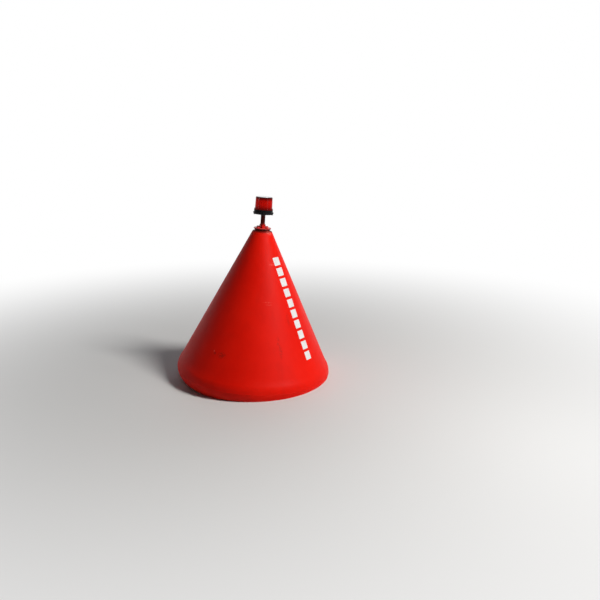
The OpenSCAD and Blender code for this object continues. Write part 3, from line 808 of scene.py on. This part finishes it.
def build_patches():
    first, last = unrolled(*PATCH_TOP), unrolled(*PATCH_LOW)
    along = (last - first).normalized()
    across = Vector((-along.y, along.x))
    outline = rounded_square(PATCH_SIDE, 4 * MM)
    rings = [(1.0, PATCH_BACK), (1.0, PATCH_FACE - 0.12 * MM), (0.985, PATCH_FACE),
             (0.75, PATCH_FACE), (0.5, PATCH_FACE), (0.25, PATCH_FACE)]
    for i in range(PATCHES):
        centre = first.lerp(last, i / (PATCHES - 1))
        skins = [[rolled(centre + (along * p.x + across * p.y) * share, lift) for p in outline]
                 for share, lift in rings]
        shape = skin([[rolled(centre, PATCH_BACK)], *skins, [rolled(centre, PATCH_FACE)]])
        solid(f"white_patch_{i + 1}", shape, slot="white_film", sharp=60)


# Top plate and mast

def plate(name, node, outline, thickness, place, fillet, material=None):
    """A flat plate with broken edges that stands for a node."""
    solid(name, placed(bevelled(outline, thickness, fillet), place), node, material=material)


def build_top():
    ring("gasket_top", "top_gasket", TUBE_HOLE_R, 1.2 * MM, material=PAINTED_RUBBER)
    ring("plate_top", "top_plate", 0, 1.2 * MM)
    pipe_r, foot, head = node_ring("mast_pipe")
    wall = 2.6 * MM
    ring("mast", "mast_pipe", pipe_r - wall, 0, 64, MAST_PAINT)
    corner, clip, reach, tall = 0.4 * MM, 3 * MM, 12 * MM, 30 * MM
    outline = [(clip, 0), (reach, 0), (reach, reach / 4), (reach / 6, tall), (corner, tall),
               (corner, clip)]
    for i in range(4):
        plate(f"mast_web_{i + 1}", f"mast_gusset_{i + 1}", outline, 6 * MM,
              at(x=pipe_r, z=foot, turn=90 * i) @ ON_EDGE, 0.8 * MM, MAST_PAINT)
    edge, bead = 0.8 * MM, 3.0 * MM
    welds = [weld(circle(pipe_r + edge, z, 144), bead, seed)
             for z, seed in ((foot + edge, 3), (head - edge, 5))]
    solid("mast_welds", joined(welds), slot="red_paint", material=MAST_PAINT)
    ring("plate_lamp", "lamp_plate", 0, 1.0 * MM)


# Lantern

HOUSING_R = 72 * MM
HOUSING_DRAFT = 1 * MM
GROOVE_Z = 18 * MM
GROOVE_W = 5 * MM
GROOVE_DEPTH = 2.5 * MM
LUG_CIRCLE_R = 67 * MM
LUG_R = 9 * MM
LUG_H = 12 * MM
LUG_ROOT_R = 50 * MM
LENS_FOOT_R = 65.5 * MM
LENS_FLANGE_T = 8 * MM
LENS_WALL = 3.5 * MM
PRISMS = 9
PRISM_DEPTH = 2.5 * MM
SEAL_W = 7 * MM
LANTERN_FIT = 0.3 * MM


def build_housing():
    low, high = [corner.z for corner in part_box("lantern_housing")]

    def side(z):
        return HOUSING_R - HOUSING_DRAFT * z / (high - low)

    low_lip, high_lip = GROOVE_Z - GROOVE_W / 2, GROOVE_Z + GROOVE_W / 2
    groove_r = side(GROOVE_Z) - GROOVE_DEPTH
    outline = [(0, low, 0), (HOUSING_R, low, 1.0 * MM), (side(low_lip), low + low_lip, 0.6 * MM),
               (groove_r, low + low_lip + 1 * MM, 0.5 * MM),
               (groove_r, low + high_lip - 1 * MM, 0.5 * MM),
               (side(high_lip), low + high_lip, 0.6 * MM), (side(high - low), high, 1.2 * MM),
               (0, high, 0)]
    end = [Vector((LUG_CIRCLE_R, 0)) + LUG_R * unit(math.radians(a)) for a in range(-90, 91, 15)]
    lug = bevelled([(LUG_ROOT_R, LUG_R), (LUG_ROOT_R, -LUG_R), *end], LUG_H, 1.0 * MM)
    lugs = [placed(lug, at(z=low + LUG_H / 2, turn=90 * i)) for i in range(4)]
    solid("housing", joined([revolved(outline, 128), *lugs]), "lantern_housing")


def build_lantern():
    lens_low, lens_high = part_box("lantern_lens")
    flange_r, foot, head = lens_high.x, lens_low.z, lens_high.z
    top_r, low, high = node_ring("lens_bezel")
    flange_z = foot + LENS_FLANGE_T

    def side(z):
        return LENS_FOOT_R + (top_r - LENS_FOOT_R) * (z - foot) / (head - foot)

    outline = [(LENS_FOOT_R - LENS_WALL, foot, 0), (flange_r, foot, 0.5 * MM),
               (flange_r, flange_z, 1.0 * MM), (side(flange_z), flange_z, 1.5 * MM),
               (top_r, head, 0.4 * MM), (top_r - LENS_WALL, head, 0)]
    # The prism rings inside, from the top down
    plain = (head - foot) / 6
    pitch = (head - foot - 2 * plain) / PRISMS
    for i in range(PRISMS, 0, -1):
        ridge = foot + plain + i * pitch
        outline += [(side(ridge) - LENS_WALL, ridge, 0),
                    (side(ridge - pitch) - LENS_WALL - PRISM_DEPTH, ridge - pitch, 0)]
    turned("lens", "lantern_lens", outline, 128, closed=True)
    ring("seal", "lens_seal", node_ring("lens_seal")[0] - SEAL_W, 0.6 * MM)
    panel_r, panel_low, _ = node_ring("solar_panel")
    spigot_r, recess_r = top_r - LENS_WALL - LANTERN_FIT, panel_r + LANTERN_FIT
    turned("bezel", "lens_bezel",
           [(0, low, 0), (spigot_r, low, 0.4 * MM), (spigot_r, head, 0), (top_r, head, 0.6 * MM),
            (top_r, high, 1.6 * MM), (recess_r, high, 0.3 * MM), (recess_r, panel_low, 0),
            (0, panel_low, 0)], 128)
    r, low, high = node_ring("panel_cover")
    turned("cover", "panel_cover",
           [(0, low, 0), (r, low, 0.4 * MM), (r, high, 1.4 * MM), (0, high, 0)], 128)


def build_bolts():
    top, lamp, flange = [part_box(node) for node in ("top_plate", "lamp_plate", "base_flange")]
    # Count, first azimuth, level, way up; then in mm circle, hexagon, head, washer and its thickness
    for name, slot, count, first, z, way, circle_r, flats, head_h, washer_r, washer_t in (
            ("plate_bolts", "red_paint", 4, 45, top[1].z, Matrix(), 48.5, 17, 6.5, 10, 2),
            ("lug_bolts", "black_paint", 4, 0, lamp[0].z, UPSIDE_DOWN, 67, 10, 5, 5.8, 1.2),
            ("flange_bolts", "galvanised", 6, 0, flange[0].z, UPSIDE_DOWN, 125, 19, 7.5, 12, 2.5)):
        washer = revolved(disc(washer_r * MM, 0, washer_t * MM, 0.3 * MM), 48)
        head = placed(hex_shape(flats * MM, head_h * MM), at(z=washer_t * MM))
        bolt = joined([washer, head])
        places = [at(x=circle_r * MM, z=z, turn=first + 360 / count * i) for i in range(count)]
        solid(name, joined([placed(bolt, place @ way) for place in places]), slot=slot)


# Tail

def build_tail():
    ring("gasket_base", "base_gasket", TUBE_HOLE_R, 0.8 * MM)
    ring("flange", "base_flange", TUBE_HOLE_R, 1.5 * MM, 128)
    chamfer, edge = 6 * MM, 1.5 * MM
    for i in range(1, 5):
        r, low, high = node_ring(f"ballast_disc_{i}")
        turned(f"ballast_{i}", f"ballast_disc_{i}",
               [(TUBE_HOLE_R, low, 0), (r - chamfer, low, edge), (r, low + chamfer, edge),
                (r, high - chamfer, edge), (r - chamfer, high, edge), (TUBE_HOLE_R, high, 0)],
               128, closed=True)
    ring("high_stop", "high_collar", TUBE_HOLE_R, 1.2 * MM)
    ring("low_stop", "low_collar", TUBE_HOLE_R, 1.2 * MM)
    ring("tube_cap", "end_cap", 0, 1.2 * MM)

    flange_z = node_ring("base_flange")[1]
    _, cap_low, cap_high = node_ring("end_cap")
    corner, clip, reach, end, tall = 0.3 * MM, 10 * MM, 70 * MM, 14 * MM, 105 * MM
    outline = [(clip, 0), (corner, -clip), (corner, -tall), (end, -tall), (reach, -end), (reach, 0)]
    gap, stop, beside = 0.8 * MM, 2 * MM, 4.5 * MM
    seams = (20, (gap, -clip), (gap, -tall + stop)), (30, (clip, -gap), (reach - stop, -gap))
    welds = []
    for i in range(4):
        place = at(x=TUBE_R, z=flange_z, turn=30 + 90 * i) @ ON_EDGE
        plate(f"tail_web_{i + 1}", f"tail_gusset_{i + 1}", outline, 8 * MM, place, 1.0 * MM)
        for side in (-beside, beside):
            for seed, *ends in seams:
                start, finish = [place @ Vector((x, y, side)) for x, y in ends]
                welds.append(run_weld(start, finish, 2.6 * MM, seed + i))
    for z, seed in ((flange_z - gap, 1), (node_ring("low_collar")[1] - gap, 2),
                    (node_ring("high_collar")[2] + gap, 3), (cap_high + gap, 4)):
        welds.append(weld(circle(TUBE_R + gap, z, 144), 3.4 * MM, seed))
    eye_low, eye_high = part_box("eye_plate")
    half_w, half_t = eye_high.x, eye_high.y
    x, y, z = half_w + gap, half_t + gap, cap_low - gap
    rim = [Vector(p) for p in ((x, y, z), (-x, y, z), (-x, -y, z), (x, -y, z))]
    welds.append(weld(rim, 3.4 * MM, 6))
    solid("tail_welds", joined(welds), slot="galvanised")

    eye_z = eye_low.z + half_w
    top = cap_low - eye_z

    def eye_edge(angle):
        """Round below, and a square shoulder up to the cap."""
        if math.sin(angle) <= 0:
            return half_w
        return min(half_w / max(abs(math.cos(angle)), 1e-6), top / math.sin(angle))

    eye = ring_plate(eye_edge, 16 * MM, 2 * half_t, 1.5 * MM, 2.0 * MM)
    solid("eye", placed(eye, at(z=eye_z) @ ON_EDGE), "eye_plate")


# Shackle and swivel

PIN_R = 11 * MM
PIN_FLATS = 34 * MM
THREAD_PITCH = 2.5 * MM
THREAD_DEPTH = 0.9 * MM
BOW_BAR_R = 10 * MM
EAR_R = 23 * MM
EAR_T = 20 * MM
JAW = 34 * MM
BOW_R = 38 * MM
BOW_DROP = 44 * MM
HOLE_R = 11.4 * MM
SPOT_R = 21 * MM
WIRE_R = 1.6 * MM
WIRE_EYE_R = 4.5 * MM
LOOP_BAR_R = 9 * MM
LOOP_R = 29 * MM
BARREL_R = 20 * MM
BARREL_L = 34 * MM
BARREL_RISE = 8 * MM
EYE_R = 32 * MM
EYE_HALF_T = 12 * MM
EYE_HOLE_R = 15 * MM
SHANK_R = 11 * MM
SHANK_HEAD_R = 15 * MM
SHANK_HEAD_T = 11 * MM
SHOULDER_R = 16 * MM


def build_bow():
    pin_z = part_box("shackle_bow")[1].z - EAR_R
    bow_z = pin_z - BOW_DROP
    ear_y = (JAW + EAR_T) / 2
    # The arms run straight from the ears until they touch the arc
    lean = math.atan2(BOW_DROP, ear_y) - math.acos(BOW_R / math.hypot(BOW_DROP, ear_y))
    turns = [lean - (math.pi + 2 * lean) * k / 48 for k in range(49)]
    path = [Vector((0, BOW_R * math.cos(a), bow_z + BOW_R * math.sin(a))) for a in turns]
    arm = [Vector((0, ear_y, pin_z)).lerp(path[0], f) for f in (0.0, 0.25, 0.5, 0.75)]
    path = arm + path + [Vector((0, -v.y, v.z)) for v in reversed(arm)]
    ear = revolved(disc(EAR_R, -EAR_T / 2, EAR_T / 2, 3 * MM), 64)
    shapes = [sweep(path, BOW_BAR_R, closed=False, sides=32)]
    shapes += [placed(ear, at(y=y, z=pin_z) @ ON_EDGE) for y in (-ear_y, ear_y)]
    # The bore, and the flats outside the ears where the forging was machined
    reach = JAW / 2 + EAR_T
    bore = [(0, -reach - EAR_T), (SPOT_R, -reach - EAR_T), (SPOT_R, -reach), (HOLE_R, -reach)]
    bore += [(r, -z) for r, z in reversed(bore)]
    forged("bow", "shackle_bow", "shackle", shapes, 1.1 * MM,
           placed(lathe(bore, 64), at(z=pin_z) @ ON_EDGE))
    build_pin(pin_z, reach)


def build_pin(pin_z, reach):
    """Pin with its head, threaded beyond the nut, and a split pin through its tip."""
    pin_low, pin_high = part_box("shackle_pin")
    nut_end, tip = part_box("shackle_nut")[1].y, pin_high.y
    out = at(z=pin_z) @ Matrix.Rotation(-math.pi / 2, 4, "X")
    outline = [(0, -reach, 0), (PIN_R, -reach, 0), (PIN_R, reach - 2 * MM, 0)]
    y = reach
    while y < tip - 3 * MM:
        outline += [(PIN_R, y, 0), (PIN_R - THREAD_DEPTH, y + 0.45 * THREAD_PITCH, 0.2 * MM)]
        y += THREAD_PITCH
    outline += [(PIN_R - 0.2 * MM, y, 0), (PIN_R - 2 * MM, tip, 0.3 * MM), (0, tip, 0)]
    head = placed(hex_shape(PIN_FLATS, -reach - pin_low.y), at(z=-reach) @ UPSIDE_DOWN)
    solid("pin", placed(joined([revolved(outline, 72), head]), out), "shackle_pin", body="shackle")
    nut = hex_shape(PIN_FLATS, nut_end - reach, True, PIN_R - 0.4 * MM)
    solid("nut", placed(nut, out @ at(z=reach)), "shackle_nut", body="shackle")

    y = (nut_end + tip) / 2
    eye_z = pin_z + PIN_R + 3.5 * MM + WIRE_EYE_R
    turns = [math.radians(20 + 320 * k / 24) for k in range(25)]
    wire = [Vector((WIRE_EYE_R * math.sin(a), y, eye_z - WIRE_EYE_R * math.cos(a))) for a in turns]
    spread, bend = 8 * MM, 10 * MM
    for side in (-1, 1):
        x = side * 0.9 * WIRE_R
        leg = [Vector((x, y, pin_z + h)) for h in (8 * MM, 0.0, -8 * MM, -PIN_R)]
        leg += [Vector((x + side * spread * math.sin(q) ** 2, y, pin_z - PIN_R - bend * math.sin(q)))
                for q in (0.3, 0.6, 0.9, 1.2)]
        wire = wire + leg if side < 0 else leg[::-1] + wire
    solid("split_pin", sweep(wire, WIRE_R, closed=False, sides=10), slot="galvanised",
          body="shackle")


def build_swivel():
    low, high = [corner.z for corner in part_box("swivel_loop")]
    barrel_high = low + BARREL_L
    ends = (high - LOOP_R - LOOP_BAR_R, 0), (barrel_high - BARREL_RISE + BARREL_R, math.pi)
    path = []
    for z, start in ends:
        turns = [start + math.pi * k / 32 for k in range(33)]
        path += [Vector((LOOP_R * math.cos(a), 0, z + LOOP_R * math.sin(a))) for a in turns]
    barrel = revolved(disc(BARREL_R, low, barrel_high, 2.5 * MM))
    forged("loop", "swivel_loop", "swivel_link", [sweep(path, LOOP_BAR_R, sides=32), barrel],
           1.0 * MM, bar(HOLE_R, low - 5 * MM, barrel_high + 5 * MM, 96))

    low, high = [corner.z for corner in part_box("swivel_eye")]
    eye_z = low + EYE_R
    shoulder_z = eye_z + EYE_R + 6 * MM
    root_z = eye_z + 23.5 * MM
    stem = revolved([(0, root_z, 0), (11.5 * MM, root_z, 0), (SHOULDER_R, shoulder_z, 1.2 * MM),
                     (SHANK_R, shoulder_z + 0.2 * MM, 0), (SHANK_R, high - SHANK_HEAD_T, 0),
                     (SHANK_HEAD_R, high - SHANK_HEAD_T / 2, 0.8 * MM),
                     (SHANK_HEAD_R, high, 1.5 * MM), (0, high, 0)])
    place = at(z=eye_z) @ ON_EDGE
    eye = placed(revolved(disc(EYE_R, -EYE_HALF_T, EYE_HALF_T, 5 * MM)), place)
    flare, lip = 3 * MM, EYE_HOLE_R + 4 * MM
    hole = [(0, -2 * EYE_HALF_T, 0), (lip, -2 * EYE_HALF_T, 0),
            (EYE_HOLE_R, flare - EYE_HALF_T, flare)]
    hole += [(r, -z, fillet) for r, z, fillet in reversed(hole)]
    forged("end_eye", "swivel_eye", "swivel_end", [stem, eye], 0.9 * MM,
           placed(revolved(hole), place))


build_float()
build_patches()
build_top()
build_bolts()
build_housing()
build_lantern()
build_tail()
build_bow()
build_swivel()


# Floor, backdrop, lights and camera

def build_floor():
    """A pale disc that fades into the white backdrop far from the buoy."""
    verts, faces = lathe([(0, 0), (3.0, 0), (60.0, 0)])
    floor = loose_object("floor", (verts, [face[::-1] for face in faces]))
    floor.matrix_world = Matrix.Rotation(-HEEL, 4, "Y")
    n = Nodes("floor")
    floor.data.materials.append(n.finish((0.66, 0.66, 0.655), 0.85, Specular_IOR_Level=0.2))
    n.backdrop(n.span(n.length(n.place), 0.7, 5.0), n.tree.nodes["Principled BSDF"].outputs["BSDF"],
               n.new("Emission", Strength=1.0).outputs["Emission"], "Material Output")


def build_world():
    """Dim light from above, more from behind so that the back isn't dark, and from below, where the
    floor keeps it to the tail."""
    n = Nodes("studio", bpy.data.worlds, "Generated")
    bpy.context.scene.world = n.owner
    level = n.span(n.axis("Z"), -0.15, 0.05, LIGHT_BELOW, LIGHT_ABOVE, "LINEAR")
    behind = n.span(n.axis("Y"), 0.5, 1.0, 0.0, LIGHT_BEHIND, "LINEAR")
    ambient = n.tree.nodes["Background"]
    n.feed(ambient.inputs["Color"], (0.92, 0.95, 1.0))
    n.feed(ambient.inputs["Strength"], n.math("ADD", level, behind))
    white = n.new("Background", (1, 1, 1), 1.0)
    n.backdrop(1.0, ambient.outputs["Background"], white.outputs["Background"], "World Output")


def area_light(name, azimuth, elevation, distance, target_z, size, power, colour=(1, 1, 1)):
    """A soft light; azimuth is counted from +X towards +Y, seen from the point it lights."""
    light = bpy.data.lights.new(name, "AREA")
    light.shape = "ELLIPSE"
    light.size, light.size_y = size
    light.energy = power
    light.color = colour
    lamp = add_object(name, light)
    a, e = math.radians(azimuth), math.radians(elevation)
    away = Vector((math.cos(a) * math.cos(e), math.sin(a) * math.cos(e), math.sin(e)))
    lamp.location = Vector((0, 0, target_z)) + away * distance
    lamp.rotation_euler = away.to_track_quat("Z", "Y").to_euler()
    return lamp


def build_camera():
    data = bpy.data.cameras.new("camera")
    data.sensor_width = 36
    data.lens = CAMERA_LENS
    camera = add_object("camera", data)
    turn = (Matrix.Rotation(math.radians(-CAMERA_YAW), 4, "Z")
            @ Matrix.Rotation(math.radians(90 - CAMERA_PITCH), 4, "X")
            @ Matrix.Rotation(math.radians(CAMERA_ROLL), 4, "Z"))
    camera.matrix_world = Matrix.Translation((0, -CAMERA_BACK, CAMERA_UP)) @ turn
    bpy.context.scene.camera = camera


build_floor()
build_world()
area_light("key", -33, 48, 11.0, 0.6, (2.8, 2.8), 1140, (1.0, 0.98, 0.95))
area_light("lens_strip", -38, 2, 3.0, 1.35, (0.07, 0.5), 10)
# Stands for the daylight that a real lens lets through from its far side
glow = area_light("lens_glow", -165, 5, 2.0, 1.35, (0.5, 0.5), 20)
lit = bpy.data.collections.new("lens_only")
lit.objects.link(bpy.data.objects["lens"])
lit.objects.link(bpy.data.objects["bezel"])
glow.light_linking.receiver_collection = lit
area_light("tail_light", -50, -30, 4.0, -0.5, (1.2, 1.2), 80, (1.0, 0.98, 0.95))
build_camera()
bpy.context.scene.view_settings.view_transform = "Standard"
